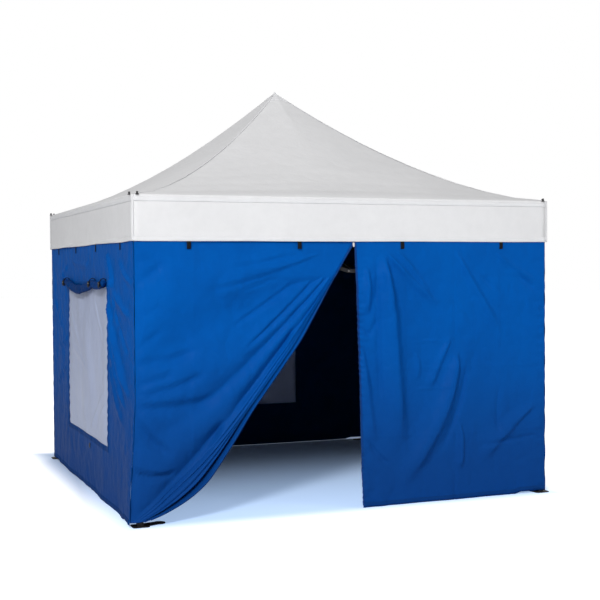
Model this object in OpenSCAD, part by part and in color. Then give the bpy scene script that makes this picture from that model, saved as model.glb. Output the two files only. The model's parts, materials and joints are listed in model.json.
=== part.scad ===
// Pop-up canopy: a square scissor-truss frame on four telescopic legs, with a peaked roof and four
// hanging walls. Origin: on the ground, under the peak. +Z up, +X along the front wall, -Y out of the front.

/* [Canopy] */
// Width of the square roof, over the valance
roof_w = 3000; // [2400:50:3000]
// Height of the roof's straight eave above the ground
eave_h = 2080; // [2060:5:2120]
// Height of the peak above the ground
peak_h = 2980; // [2960:5:3020]
// Drop of the valance below the eave
valance_drop = 292; // [250:2:320]
// How strongly the roof swoops in from a straight pyramid
roof_swoop = 1.55; // [1.4:0.05:2]
// Thickness of the roof and wall cloth
cloth_t = 1.2; // [1:0.1:1.5]

/* [Truss] */
// Length of a scissor bar between its end pivots, for a canopy 3 m wide
bar_ref_len = 1450; // [1430:10:1480]
// Depth of a scissor bar
bar_h = 24; // [20:1:24]
// Thickness of a scissor bar
bar_t = 12; // [10:1:12]
// Wall of a scissor bar
bar_wall = 0.8; // [0.8:0.1:1.5]
// Radius of a pivot rivet
rivet_r = 4; // [3:0.5:4]
// Height of the upper row of pivots
upper_row_z = 1990; // [1970:5:1995]

/* [Legs] */
// Width of the outer leg tube
leg_w = 38; // [36:1:38]
// Wall of both leg tubes
leg_wall = 1.2; // [1:0.1:1.6]
// Width of the inner leg tube
inner_leg_w = 32; // [28:1:32]
// Height of the outer leg tube's lower end
leg_foot_gap = 500; // [480:10:520]
// Height of the inner leg tube's upper end
inner_leg_top = 640; // [620:10:680]
// Radius of the stake hole in a foot
stake_r = 6; // [5:0.5:8]

/* [Mast] */
// Radius of the mast tube
mast_r = 14; // [12:0.5:14]
// Height of the mast tube's upper end
mast_top = 2905; // [2860:5:2905]
// Travel of the spring cap on the mast
cap_travel = 40; // [20:5:40]

/* [Walls] */
// Gap between a wall's hem and the ground
hem_gap = 15; // [5:5:40]
// Half the width of a wall window
window_half_w = 720; // [500:10:900]
// Height of a window's lower edge
window_low = 390; // [300:5:600]
// Height of a window's upper edge
window_high = 1500; // [1300:5:1550]
// Angle of the open door edge from the closed zip
door_open = 32.5; // [20:0.1:40]

/* [Hidden] */
SIDES = ["front", "right", "back", "left"];
HANDS = ["left", "right"];
CORNERS = ["front_left", "front_right", "back_right", "back_left"];
$fn = 48;

// Clearances
run_gap = 0.05;
fit_gap = 0.3;
ear_gap = 0.5;

// Plan of the frame
half_w = roof_w / 2;
leg_axis = half_w - 38;
hub_reach = 38;
mid_reach = 30;
bar_span = leg_axis - hub_reach - mid_reach;
bar_len = bar_ref_len * bar_span / 1394;
bar_rise = sqrt(bar_len * bar_len - bar_span * bar_span);
lower_row_z = upper_row_z - bar_rise;
bar_slope = atan2(bar_rise, bar_span);

// Bars and brackets
layer_gap = 1.5;
layer_y = layer_gap + bar_t / 2;
bar_outer = layer_gap + bar_t;
bar_nose = bar_h / 2;
plug_start = 4.5;
plug_len = 18;
ear_t = 3;
ear_r = 9;
ear_outer = bar_outer + ear_gap + ear_t;
ear_inner = layer_gap - ear_gap - ear_t;
head_r = 7;
head_t = 1.5;
hub_half = 25;
hub_half_h = 20;
mid_half = 17;
mid_half_h = 12;

// Legs
leg_half = leg_w / 2;
collar_half = 25;
leg_top = 2040;
bracket_low = 1962;
bracket_cap = 5;
slider_half_h = 22;
collar_low = 470;
collar_high = leg_foot_gap + 12;
foot_t = 5;
foot_half = 54;
foot_ear_r = 40;
foot_ear_x = 135;
foot_ear_y = 45;
lock_r = 4.5;
lock_z = lower_row_z - slider_half_h - 12;
lock_proud = 4.3;
height_pin_z = 485;
height_hole_pitch = 75;

// Mast
mast_wall = 1.6;
mast_socket = 40;
lower_hub_low = lower_row_z - 24;
sleeve_r = 18;
sleeve_low = 1840;
cap_stem_r = 11;
cap_stem_len = 100;

// Cloth
roof_steps = 14;
wall_in = half_w - 9;
wall_high = 1900;
valance_low = eave_h - valance_drop;
film_t = 0.6;
zip_top = valance_low - 6;
zip_len = zip_top - hem_gap;
tape_w = 12;
pull_z = zip_top - 14;
door_foot_x = 1330;
door_foot_z = 70;

// Turns +X to the outward direction of a side
module facing(side) {
    turn = side == "front" ? -90 : side == "right" ? 0 : side == "back" ? 90 : 180;
    rotate([0, 0, turn]) children();
}

// Moves to a corner's leg, turned so that +X and +Y point inwards along the two sides
module at_corner(corner) {
    rotate([0, 0, 90 * search([corner], CORNERS)[0]]) translate([-leg_axis, -leg_axis, 0]) children();
}

// Box from its low and high corners
module block(low, high) {
    translate(low) cube(high - low);
}

// Outline of a square tube or collar with round corners
module round_square(half, r) {
    square([2 * half, 2 * (half - r)], center = true);
    square([2 * (half - r), 2 * half], center = true);
    for (x = [-1, 1], y = [-1, 1]) translate([x * (half - r), y * (half - r)]) circle(r);
}

// Round post along Y, from y0 to y1
module along_y(r, y0, y1) {
    translate([0, y1, 0]) rotate([90, 0, 0]) cylinder(r = r, h = y1 - y0);
}

// Rivet through the pieces between y0 and y1, with a head at each end
module rivet(y0, y1) {
    low = y0 - 3 * run_gap;
    high = y1 + 3 * run_gap;
    along_y(rivet_r, low, high);
    along_y(head_r, low - head_t, low);
    along_y(head_r, high, high + head_t);
}

// Plastic plug with a round nose, in the end of a bar at x = 0
module bar_plug() {
    in_h = bar_h / 2 - bar_wall - run_gap;
    in_t = bar_t / 2 - bar_wall - run_gap;
    difference() {
        union() {
            intersection() {
                along_y(bar_nose, -bar_t / 2, bar_t / 2);
                block([-bar_nose, -bar_t, -bar_h], [-plug_start - run_gap, bar_t, bar_h]);
            }
            block([-plug_start - 1, -in_t, -in_h], [plug_len - plug_start, in_t, in_h]);
        }
        along_y(rivet_r + run_gap, -bar_t, bar_t);
    }
}

// Tube, plugs and rivets of one scissor bar, from the origin along +X in the given layer (1 or -1)
module bar(layer, crossing_rivet) {
    bore_r = rivet_r + run_gap;
    translate([0, layer * layer_y, 0]) {
        difference() {
            block([-plug_start, -bar_t / 2, -bar_h / 2], [bar_len + plug_start, bar_t / 2, bar_h / 2]);
            block([-plug_start - 1, -bar_t / 2 + bar_wall, -bar_h / 2 + bar_wall],
                  [bar_len + plug_start + 1, bar_t / 2 - bar_wall, bar_h / 2 - bar_wall]);
            for (x = [0, bar_len / 2, bar_len]) translate([x, 0, 0]) along_y(bore_r, -bar_t, bar_t);
        }
        bar_plug();
        translate([bar_len, 0, 0]) mirror([1, 0, 0]) bar_plug();
    }
    ear_low = layer > 0 ? ear_inner : -ear_outer;
    ear_high = layer > 0 ? ear_outer : -ear_inner;
    for (x = [0, bar_len]) translate([x, 0, 0]) rivet(ear_low, ear_high);
    if (crossing_rivet) translate([bar_len / 2, 0, 0]) rivet(-bar_outer, bar_outer);
}

// Two ears on a bracket, from its face along +X to the pivot, around a bar in the given layer
module ears(face, pivot, layer) {
    mirror([0, layer > 0 ? 0 : 1, 0])
        for (y = [[ear_inner, ear_inner + ear_t], [ear_outer - ear_t, ear_outer]])
            difference() {
                union() {
                    block([face - 2, y[0], -ear_r], [pivot, y[1], ear_r]);
                    translate([pivot, 0, 0]) along_y(ear_r, y[0], y[1]);
                }
                translate([pivot, 0, 0]) along_y(rivet_r + run_gap, y[0] - 1, y[1] + 1);
            }
}

// Central hub body with its four pairs of ears, at the height of its pivots
module hub_body(low, high, layer) {
    translate([0, 0, low]) linear_extrude(high - low) round_square(hub_half, 5);
    for (s = SIDES) facing(s) ears(hub_half, hub_reach, layer);
}

module upper_hub() {
    color("black") difference() {
        union() {
            translate([0, 0, upper_row_z]) hub_body(-hub_half_h, hub_half_h, 1);
            translate([0, 0, sleeve_low]) cylinder(r = sleeve_r, h = upper_row_z - sleeve_low);
        }
        translate([0, 0, sleeve_low - 1]) cylinder(r = mast_r + fit_gap, h = 400);
    }
}

module lower_hub() {
    color("black") difference() {
        translate([0, 0, lower_row_z]) hub_body(-24, 26, -1);
        translate([0, 0, lower_hub_low + 50 - mast_socket]) cylinder(r = mast_r + run_gap, h = 100);
    }
}

module mast() {
    foot = lower_hub_low + 50 - mast_socket + run_gap;
    color("silver") translate([0, 0, foot]) difference() {
        cylinder(r = mast_r, h = mast_top - foot);
        translate([0, 0, -1]) cylinder(r = mast_r - mast_wall, h = mast_top);
    }
}

module peak_cap() {
    dome_low = mast_top + cap_travel + 2;
    dome_r = mast_r - 1;
    color("black") {
        translate([0, 0, dome_low]) cylinder(r1 = mast_r, r2 = dome_r, h = 4);
        translate([0, 0, dome_low + 4]) intersection() {
            sphere(r = dome_r);
            cylinder(r = 2 * dome_r, h = dome_r);
        }
        translate([0, 0, dome_low - cap_stem_len]) cylinder(r = cap_stem_r, h = cap_stem_len);
    }
}

// Radial bar from the upper hub down to a side's lower middle bracket
module arm_high(side) {
    color("dimgray") facing(side) translate([hub_reach, 0, upper_row_z]) rotate([0, bar_slope, 0]) bar(1, true);
}

// Radial bar from the lower hub up to a side's upper middle bracket
module arm_low(side) {
    color("dimgray") facing(side) translate([hub_reach, 0, lower_row_z]) rotate([0, -bar_slope, 0]) bar(-1, false);
}

// Bracket at the middle of a side: one arm on its inner face and a truss bar on each flank
module mid_bracket(side, row_z, arm_layer, truss_layer) {
    color("black") facing(side) translate([leg_axis, 0, row_z]) {
        translate([0, 0, -mid_half_h]) linear_extrude(2 * mid_half_h) round_square(mid_half, 3);
        mirror([1, 0, 0]) ears(mid_half, mid_reach, arm_layer);
        rotate([0, 0, 90]) ears(mid_half, mid_reach, -truss_layer);
        rotate([0, 0, -90]) ears(mid_half, mid_reach, truss_layer);
    }
}

module mid_upper(side) {
    mid_bracket(side, upper_row_z, -1, -1);
}

module mid_lower(side) {
    mid_bracket(side, lower_row_z, 1, 1);
}

// Moves to the middle of a side, with +X along it to the corner on the given hand, seen from outside
module along_side(side, hand) {
    facing(side) translate([leg_axis, 0, 0]) rotate([0, 0, hand == "right" ? 90 : -90]) children();
}

// Side bar in the outer layer, from the lower middle bracket up to the top of a leg
module truss_high(side, hand) {
    color("dimgray") along_side(side, hand) translate([mid_reach, 0, lower_row_z])
        rotate([0, -bar_slope, 0]) bar(hand == "right" ? -1 : 1, true);
}

// Side bar in the inner layer, from the upper middle bracket down to a leg's slider
module truss_low(side, hand) {
    color("dimgray") along_side(side, hand) translate([mid_reach, 0, upper_row_z])
        rotate([0, bar_slope, 0]) bar(hand == "right" ? 1 : -1, false);
}

// Ears on a leg's bracket or slider for its two trusses, in the outer layer (1) or the inner one (-1)
module corner_ears(row_z, layer) {
    translate([0, 0, row_z]) {
        ears(collar_half, hub_reach, -layer);
        rotate([0, 0, 90]) ears(collar_half, hub_reach, layer);
    }
}

// Outer leg tube with its top bracket and its lower collar
module leg(corner) {
    at_corner(corner) {
        color("dimgray") difference() {
            translate([0, 0, leg_foot_gap]) linear_extrude(leg_top - leg_foot_gap) difference() {
                round_square(leg_half, 3);
                round_square(leg_half - leg_wall, 2);
            }
            translate([0, 0, lock_z]) along_y(lock_r + run_gap, -leg_w, 0);
        }
        color("black") difference() {
            union() {
                translate([0, 0, bracket_low]) linear_extrude(leg_top + bracket_cap - bracket_low)
                    round_square(collar_half, 4);
                corner_ears(upper_row_z, 1);
            }
            translate([0, 0, bracket_low - 1]) linear_extrude(leg_top + run_gap - bracket_low + 1)
                round_square(leg_half + run_gap, 3);
        }
        color("black") difference() {
            translate([0, 0, collar_low]) linear_extrude(collar_high - collar_low) round_square(collar_half, 4);
            translate([0, 0, leg_foot_gap - run_gap]) linear_extrude(50) round_square(leg_half + run_gap, 3);
            translate([0, 0, collar_low - 1]) linear_extrude(50) round_square(inner_leg_w / 2 + fit_gap, 3);
            translate([0, 0, height_pin_z]) along_y(lock_r + run_gap, 0, leg_w);
        }
    }
}

// Collar that runs up the leg when the frame opens, grooved inside where it passes the lock button
module slider(corner) {
    groove = lock_r + 1;
    color("black") at_corner(corner) difference() {
        union() {
            translate([0, 0, lower_row_z - slider_half_h]) linear_extrude(2 * slider_half_h)
                round_square(collar_half, 4);
            corner_ears(lower_row_z, -1);
        }
        translate([0, 0, lower_row_z - slider_half_h - 1]) linear_extrude(2 * slider_half_h + 2)
            round_square(leg_half + fit_gap, 3);
        block([-groove, -leg_half - lock_proud - fit_gap, lower_row_z - slider_half_h - 1],
              [groove, 0, lower_row_z + slider_half_h + 1]);
    }
}

// Outline of a foot: a pad under the leg and a lobe that holds the stake hole
module foot_outline() {
    round_square(foot_half, 18);
    translate([foot_ear_x, foot_ear_y]) circle(foot_ear_r);
    polygon([[0, foot_half], [foot_ear_x - 25, foot_ear_y + 31], [foot_ear_x, foot_ear_y - 30], [foot_half, -20]]);
}

// Inner leg tube with its row of height holes and its foot
module inner_leg(corner) {
    at_corner(corner) {
        color("dimgray") translate([0, 0, foot_t]) difference() {
            linear_extrude(inner_leg_top - foot_t) difference() {
                round_square(inner_leg_w / 2, 2.5);
                round_square(inner_leg_w / 2 - leg_wall, 1.5);
            }
            for (k = [0:4]) translate([0, 0, height_pin_z - foot_t - k * height_hole_pitch])
                along_y(lock_r + run_gap, 0, leg_w);
        }
        color("black") {
            difference() {
                linear_extrude(foot_t) foot_outline();
                translate([foot_ear_x, foot_ear_y, -1]) cylinder(r = stake_r, h = foot_t + 2);
            }
            translate([0, 0, foot_t]) linear_extrude(22) difference() {
                round_square(inner_leg_w / 2 + 4, 4);
                round_square(inner_leg_w / 2 + run_gap, 2.5);
            }
        }
    }
}

// The slider's lock button on the outer face and the height pin in the collar, of one leg
module lock_buttons(corner) {
    color("red") at_corner(corner) {
        translate([0, 0, lock_z]) {
            along_y(lock_r, -leg_half - lock_proud + 1.5, -leg_half + 8);
            translate([0, -leg_half - lock_proud + 1.5, 0]) rotate([90, 0, 0])
                cylinder(r1 = lock_r, r2 = lock_r - 1.5, h = 1.5);
            along_y(lock_r + 2, -leg_half + 5, -leg_half + 8);
        }
        translate([0, 0, height_pin_z]) {
            along_y(lock_r, inner_leg_w / 2 + fit_gap * 4, collar_half + 8);
            along_y(lock_r + 5, collar_half + 6, collar_half + 12);
        }
    }
}

// Height of the roof's outer face at a distance from the centre, along a line across a side
function roof_z(d) = eave_h + (peak_h - eave_h) * pow(1 - d / half_w, roof_swoop);

// Peaked roof and its valance, as one thin shell with four swooping panels
module roof_canopy() {
    in = half_w - cloth_t;
    outer = [for (i = [0:roof_steps]) let (d = half_w * pow(i / roof_steps, 1.5)) [d * sqrt(2), roof_z(d)]];
    inner = [for (i = [roof_steps:-1:0]) let (d = in * pow(i / roof_steps, 1.5))
        [d * sqrt(2), roof_z(d * half_w / in) - cloth_t]];
    skirt = [[half_w * sqrt(2), valance_low], [in * sqrt(2), valance_low]];
    color("white") rotate([0, 0, 45]) rotate_extrude($fn = 4) polygon(concat(outer, skirt, inner));
}

// Wall cloth on a side, between two distances along it, as seen from outside
module wall_cloth(from, to) {
    block([wall_in, from, hem_gap], [wall_in + cloth_t, to, wall_high]);
}

// Full wall with a window opening, its clear film and its rolled-up cover
module window_wall(side) {
    lap = 20;
    color("royalblue") facing(side) difference() {
        wall_cloth(-wall_in + 2, wall_in - 2);
        block([wall_in - 5, -window_half_w, window_low], [wall_in + 5, window_half_w, window_high]);
    }
    color("lightgray") facing(side) block([wall_in - film_t - run_gap, -window_half_w - lap, window_low - lap],
                                     [wall_in - run_gap, window_half_w + lap, window_high + lap]);
    color("royalblue") facing(side) translate([wall_in + cloth_t + 4, -window_half_w, window_high + 30])
        rotate([-90, 0, 0]) cylinder(r = 3.5, h = 2 * window_half_w);
}

module left_wall() {
    window_wall("left");
}

module right_wall() {
    window_wall("right");
}

module back_wall() {
    window_wall("back");
}

// Front wall's closed half, hanging straight from the truss
module front_wall_right() {
    color("royalblue") facing("front") wall_cloth(tape_w / 2 + 2, wall_in - 2);
}

// Front wall's open half, drawn back to the corner along its zipped edge
module front_wall_door() {
    edge = tape_w + 4;
    reach = zip_len - 20;
    color("royalblue") translate([0, -wall_in, 0]) rotate([90, 0, 0]) linear_extrude(cloth_t) polygon([
        [-wall_in + 2, wall_high], [-edge, wall_high], [-edge, zip_top],
        [-edge - reach * sin(door_open), zip_top - reach * cos(door_open)],
        [-door_foot_x, door_foot_z], [-wall_in + 2, hem_gap]]);
}

// Zip tape on the door's free edge, hinged at the top of the zip
module door_zip_edge() {
    color("navy") translate([0, -wall_in - cloth_t, zip_top]) rotate([0, door_open, 0])
        block([-tape_w, 0, -zip_len], [0, cloth_t + 1, -8]);
}

// Zip slider and its pull tab, at the top of the zip
module zip_pull() {
    color("white") {
        block([-7, -wall_in - 4.2, pull_z - 8], [7, -wall_in - cloth_t - 1, pull_z + 12]);
        block([-5, -wall_in - 7, pull_z - 16], [5, -wall_in - 4, pull_z + 6]);
    }
}

upper_hub();
lower_hub();
mast();
peak_cap();
for (s = SIDES) {
    arm_high(s);
    arm_low(s);
    mid_upper(s);
    mid_lower(s);
}
for (s = SIDES, h = HANDS) {
    truss_high(s, h);
    truss_low(s, h);
}
for (c = CORNERS) {
    leg(c);
    slider(c);
    inner_leg(c);
    lock_buttons(c);
}
roof_canopy();
front_wall_right();
front_wall_door();
right_wall();
back_wall();
left_wall();
door_zip_edge();
zip_pull();
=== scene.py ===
"""Looks of the pop-up canopy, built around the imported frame. Metres, +Z up, -Y out of the front."""

import json
import math

import bpy
import numpy as np
from mathutils import Euler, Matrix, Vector

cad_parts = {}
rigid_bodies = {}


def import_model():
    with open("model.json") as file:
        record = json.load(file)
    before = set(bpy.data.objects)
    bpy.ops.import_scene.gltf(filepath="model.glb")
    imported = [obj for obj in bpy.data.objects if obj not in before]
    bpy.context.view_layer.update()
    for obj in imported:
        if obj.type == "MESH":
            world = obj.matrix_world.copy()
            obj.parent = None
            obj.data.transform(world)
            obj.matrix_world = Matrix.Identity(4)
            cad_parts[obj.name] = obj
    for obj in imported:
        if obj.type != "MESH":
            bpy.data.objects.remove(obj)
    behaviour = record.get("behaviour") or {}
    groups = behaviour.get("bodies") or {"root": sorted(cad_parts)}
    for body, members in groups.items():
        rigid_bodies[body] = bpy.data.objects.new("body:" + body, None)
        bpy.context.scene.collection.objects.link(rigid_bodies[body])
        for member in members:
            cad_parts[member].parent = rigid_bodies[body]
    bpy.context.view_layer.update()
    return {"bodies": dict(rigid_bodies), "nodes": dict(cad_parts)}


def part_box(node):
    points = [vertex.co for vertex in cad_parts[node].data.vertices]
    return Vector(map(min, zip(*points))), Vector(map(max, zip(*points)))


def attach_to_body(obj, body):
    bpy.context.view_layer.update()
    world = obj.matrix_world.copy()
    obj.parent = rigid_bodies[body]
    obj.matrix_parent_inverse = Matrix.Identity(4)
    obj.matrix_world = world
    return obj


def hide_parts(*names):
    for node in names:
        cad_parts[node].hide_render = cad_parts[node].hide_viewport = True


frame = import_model()

# -------- driving sizes, from the frame

SIDES = {  # side: outward normal, and the direction to the right as seen from outside
    "front": ((0, -1), (1, 0)),
    "right": ((1, 0), (0, 1)),
    "back": ((0, 1), (-1, 0)),
    "left": ((-1, 0), (0, -1)),
}
CORNERS = {"front_left": (-1, -1), "front_right": (1, -1), "back_right": (1, 1), "back_left": (-1, 1)}
LEGS_OF = {  # side: the legs at its left and right ends, as seen from outside
    "front": ("front_left", "front_right"),
    "right": ("front_right", "back_right"),
    "back": ("back_right", "back_left"),
    "left": ("back_left", "front_left"),
}

roof_low, roof_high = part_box("roof_canopy")
HALF = roof_high.x
PEAK = roof_high.z
VALANCE_LOW = roof_low.z
roof_verts = np.array([v.co for v in frame["nodes"]["roof_canopy"].data.vertices])
from_middle = np.max(np.abs(roof_verts[:, :2]), axis=1)
EAVE = float(roof_verts[from_middle > HALF - 1e-3, 2].max())
wall_low, wall_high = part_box("front_wall_right")
WALL_OUT = -wall_low.y  # distance of every wall's outer face from the middle
WALL_END = wall_high.x
HEM_Z = wall_low.z
WALL_TOP = wall_high.z
leg_low, leg_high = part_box("leg_front_right")
LEG_X = (leg_low.x + leg_high.x) / 2
ZIP_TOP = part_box("door_zip_edge")[1].z
window = [v.co for v in frame["nodes"]["left_wall"].data.vertices if abs(v.co.y) < WALL_END - 0.3]
LAP = 0.02  # how far the CAD window's sheet runs under the cloth
WIN_HALF = max(c.y for c in window) - LAP
WIN_LOW = min(c.z for c in window) + LAP
WIN_HIGH = max(c.z for c in window if c.x > -WALL_OUT) - LAP

CLOTH = 0.0012  # thickness of a wall

# -------- repeatable noise


def lattice(ix, iy, seed):
    """A fixed value from 0 to 1 at each whole-number place."""
    h = (ix.astype(np.int64) * 374761393 + iy.astype(np.int64) * 668265263 + seed * 974711) & 0xFFFFFFFF
    h = ((h ^ (h >> 13)) * 1274126177) & 0xFFFFFFFF
    return ((h ^ (h >> 16)) & 0xFFFF) / 65535.0


def noise(x, y, seed=0):
    """Smooth noise from -1 to 1."""
    x, y = np.broadcast_arrays(x, y)
    ix, iy = np.floor(x), np.floor(y)
    fx, fy = x - ix, y - iy
    fx, fy = fx * fx * (3 - 2 * fx), fy * fy * (3 - 2 * fy)
    low = lattice(ix, iy, seed) * (1 - fx) + lattice(ix + 1, iy, seed) * fx
    high = lattice(ix, iy + 1, seed) * (1 - fx) + lattice(ix + 1, iy + 1, seed) * fx
    return 2 * (low * (1 - fy) + high * fy) - 1


def crumple(x, y, seed=0, octaves=3):
    """Creased noise: smooth pillows that meet in sharp lines, about -0.5 to 0.5."""
    total, size, turn = 0.0, 1.0, 0.6
    for k in range(octaves):
        c, s = math.cos(turn * (k + 1)), math.sin(turn * (k + 1))
        total = total + size * (np.abs(noise(c * x - s * y, s * x + c * y, seed + 7 * k)) - 0.35)
        x, y, size = x * 2.1, y * 2.1, size * 0.45
    return total


def smooth(x, a, b):
    """0 below a, 1 above b, smooth between."""
    t = np.clip((x - a) / (b - a), 0, 1)
    return t * t * (3 - 2 * t)


# -------- mesh helpers


def new_mesh(name, verts, faces, material=None):
    mesh = bpy.data.meshes.new(name)
    mesh.from_pydata([tuple(v) for v in verts], [], faces)
    mesh.update()
    mesh.polygons.foreach_set("use_smooth", [True] * len(mesh.polygons))
    obj = bpy.data.objects.new(name, mesh)
    bpy.context.scene.collection.objects.link(obj)
    if material:
        mesh.materials.append(material)
    return obj


def sheet(name, points, material, wrap=False, keep=None, caps=False):
    """Quads over a grid of points: wrap joins the last column to the first, keep(row, column) says
    which faces stay, and caps closes both ends."""
    points = np.asarray(points, float)
    rows, cols = points.shape[:2]
    faces = []
    for r in range(rows - 1):
        for c in range(cols if wrap else cols - 1):
            if keep is None or keep(r, c):
                d = (c + 1) % cols
                faces.append((r * cols + c, r * cols + d, (r + 1) * cols + d, (r + 1) * cols + c))
    if caps:
        faces.append(tuple(range(cols))[::-1])
        faces.append(tuple(range((rows - 1) * cols, rows * cols)))
    used = np.unique(np.concatenate(faces))
    faces = [tuple(int(i) for i in np.searchsorted(used, f)) for f in faces]
    return new_mesh(name, points.reshape(-1, 3)[used], faces, material)


def thicken(obj, thickness, inner=None):
    """Gives a sheet its thickness, and, when inner is given, that material on the side that faces into the
    canopy, which on the walls is their painted inside shade.
    """
    mesh = obj.data
    normals = np.array([p.normal for p in mesh.polygons])
    centres = np.array([p.center for p in mesh.polygons])
    if (normals * (centres - np.array([0.0, 0.0, 1.0]))).sum() < 0:
        mesh.flip_normals()
    m = obj.modifiers.new("thickness", "SOLIDIFY")
    m.thickness = thickness
    m.offset = 0.0
    if inner:
        mesh.materials.append(inner)
        m.material_offset = 1


def frames(points):
    """Tangent, side and up directions along a path."""
    t = np.gradient(points, axis=0)
    t /= np.linalg.norm(t, axis=1, keepdims=True) + 1e-12
    ref = np.array([0.0, 0.0, 1.0]) if abs(t[:, 2]).mean() < 0.8 else np.array([1.0, 0.0, 0.0])
    side = np.cross(t, ref)
    side /= np.linalg.norm(side, axis=1, keepdims=True) + 1e-12
    return t, side, np.cross(side, t)


def tube(name, points, radius, material, sides=10):
    """Closed round tube along a path; radius is one number or one per point."""
    points = np.asarray(points, float)
    radius = np.broadcast_to(np.asarray(radius, float), (len(points),))
    _, side, up = frames(points)
    a = np.linspace(0, 2 * math.pi, sides, endpoint=False)
    ring = np.cos(a)[None, :, None] * side[:, None, :] + np.sin(a)[None, :, None] * up[:, None, :]
    return sheet(name, points[:, None, :] + radius[:, None, None] * ring, material, wrap=True, caps=True)


def joined(name, parts):
    """One object from several, keeping their materials."""
    verts, faces, mats, index = [], [], [], []
    for p in parts:
        base = len(verts)
        verts += [p.matrix_world @ v.co for v in p.data.vertices]
        for f in p.data.polygons:
            faces.append([base + i for i in f.vertices])
            m = p.data.materials[f.material_index]
            if m not in mats:
                mats.append(m)
            index.append(mats.index(m))
    for p in parts:
        bpy.data.objects.remove(p)
    obj = new_mesh(name, verts, faces)
    for m in mats:
        obj.data.materials.append(m)
    obj.data.polygons.foreach_set("material_index", index)
    return obj


# -------- cloth that follows the frame


def hook(obj, body, weights):
    """Points follow another body by their weight, on top of the body that obj rides on."""
    group = obj.vertex_groups.new(name="to_" + body)
    for i, w in enumerate(np.round(np.clip(weights, 0, 1), 3)):
        if w > 0:
            group.add([i], float(w), "REPLACE")
    m = obj.modifiers.new("to_" + body, "HOOK")
    m.object = frame["bodies"][body]
    m.vertex_group = group.name
    obj.modifiers.move(len(obj.modifiers) - 1, 0)


def coords(obj):
    return np.array([v.co for v in obj.data.vertices], float).reshape(-1, 3)


FOOT_LIFT_FROM = 1.0


def follow_wall(obj, side, swing=False):
    """Cloth on a wall: its top follows the two legs beside it, its hem their feet, the nearer one more."""
    (nx, ny), (ux, uy) = SIDES[side]
    co = coords(obj)
    along = (co[:, 0] * ux + co[:, 1] * uy) / LEG_X
    lift = 1 - smooth(co[:, 2], 0.05, FOOT_LIFT_FROM)
    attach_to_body(obj, "mid_upper_" + side)
    for leg, sign in zip(LEGS_OF[side], (-1, 1)):
        share = (1 + sign * along) / 2
        hook(obj, "leg_" + leg, share * (1 - lift))
        hook(obj, "inner_leg_" + leg, share * lift)
    if swing:
        hook(obj, "door_edge", swing_weight(co[:, 0], co[:, 2]))


def follow_roof(obj):
    """Roof cloth: its rim follows the four legs, and its middle also follows the mast's cap."""
    co = coords(obj)
    x, y = np.clip(co[:, 0] / LEG_X, -1, 1), np.clip(co[:, 1] / LEG_X, -1, 1)
    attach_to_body(obj, "hub")
    for corner, (sx, sy) in CORNERS.items():
        hook(obj, "leg_" + corner, (1 + sx * x) * (1 + sy * y) / 4)
    hook(obj, "peak_cap", 0.86 * np.clip((co[:, 2] - EAVE) / (PEAK - EAVE), 0, 1))


def attach(obj, side=None, thickness=None, replaced=None, swing=False, inner=None):
    """Thickness, hiding of the CAD node it replaces, and movement of one piece, on a wall or, with no side,
    on the roof.
    """
    if thickness:
        thicken(obj, thickness, inner)
    if replaced:
        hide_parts(replaced)
    if side:
        follow_wall(obj, side, swing)
    else:
        follow_roof(obj)


def attach_wall(obj, side, replaced, swing=False):
    """A wall's main cloth, with a darker copy of the wall blue on its inside as painted shade, in place of
    its CAD node.
    """
    attach(obj, side, CLOTH, replaced, swing, mats["wall_inside_painted_shade"])


# -------- materials


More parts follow.
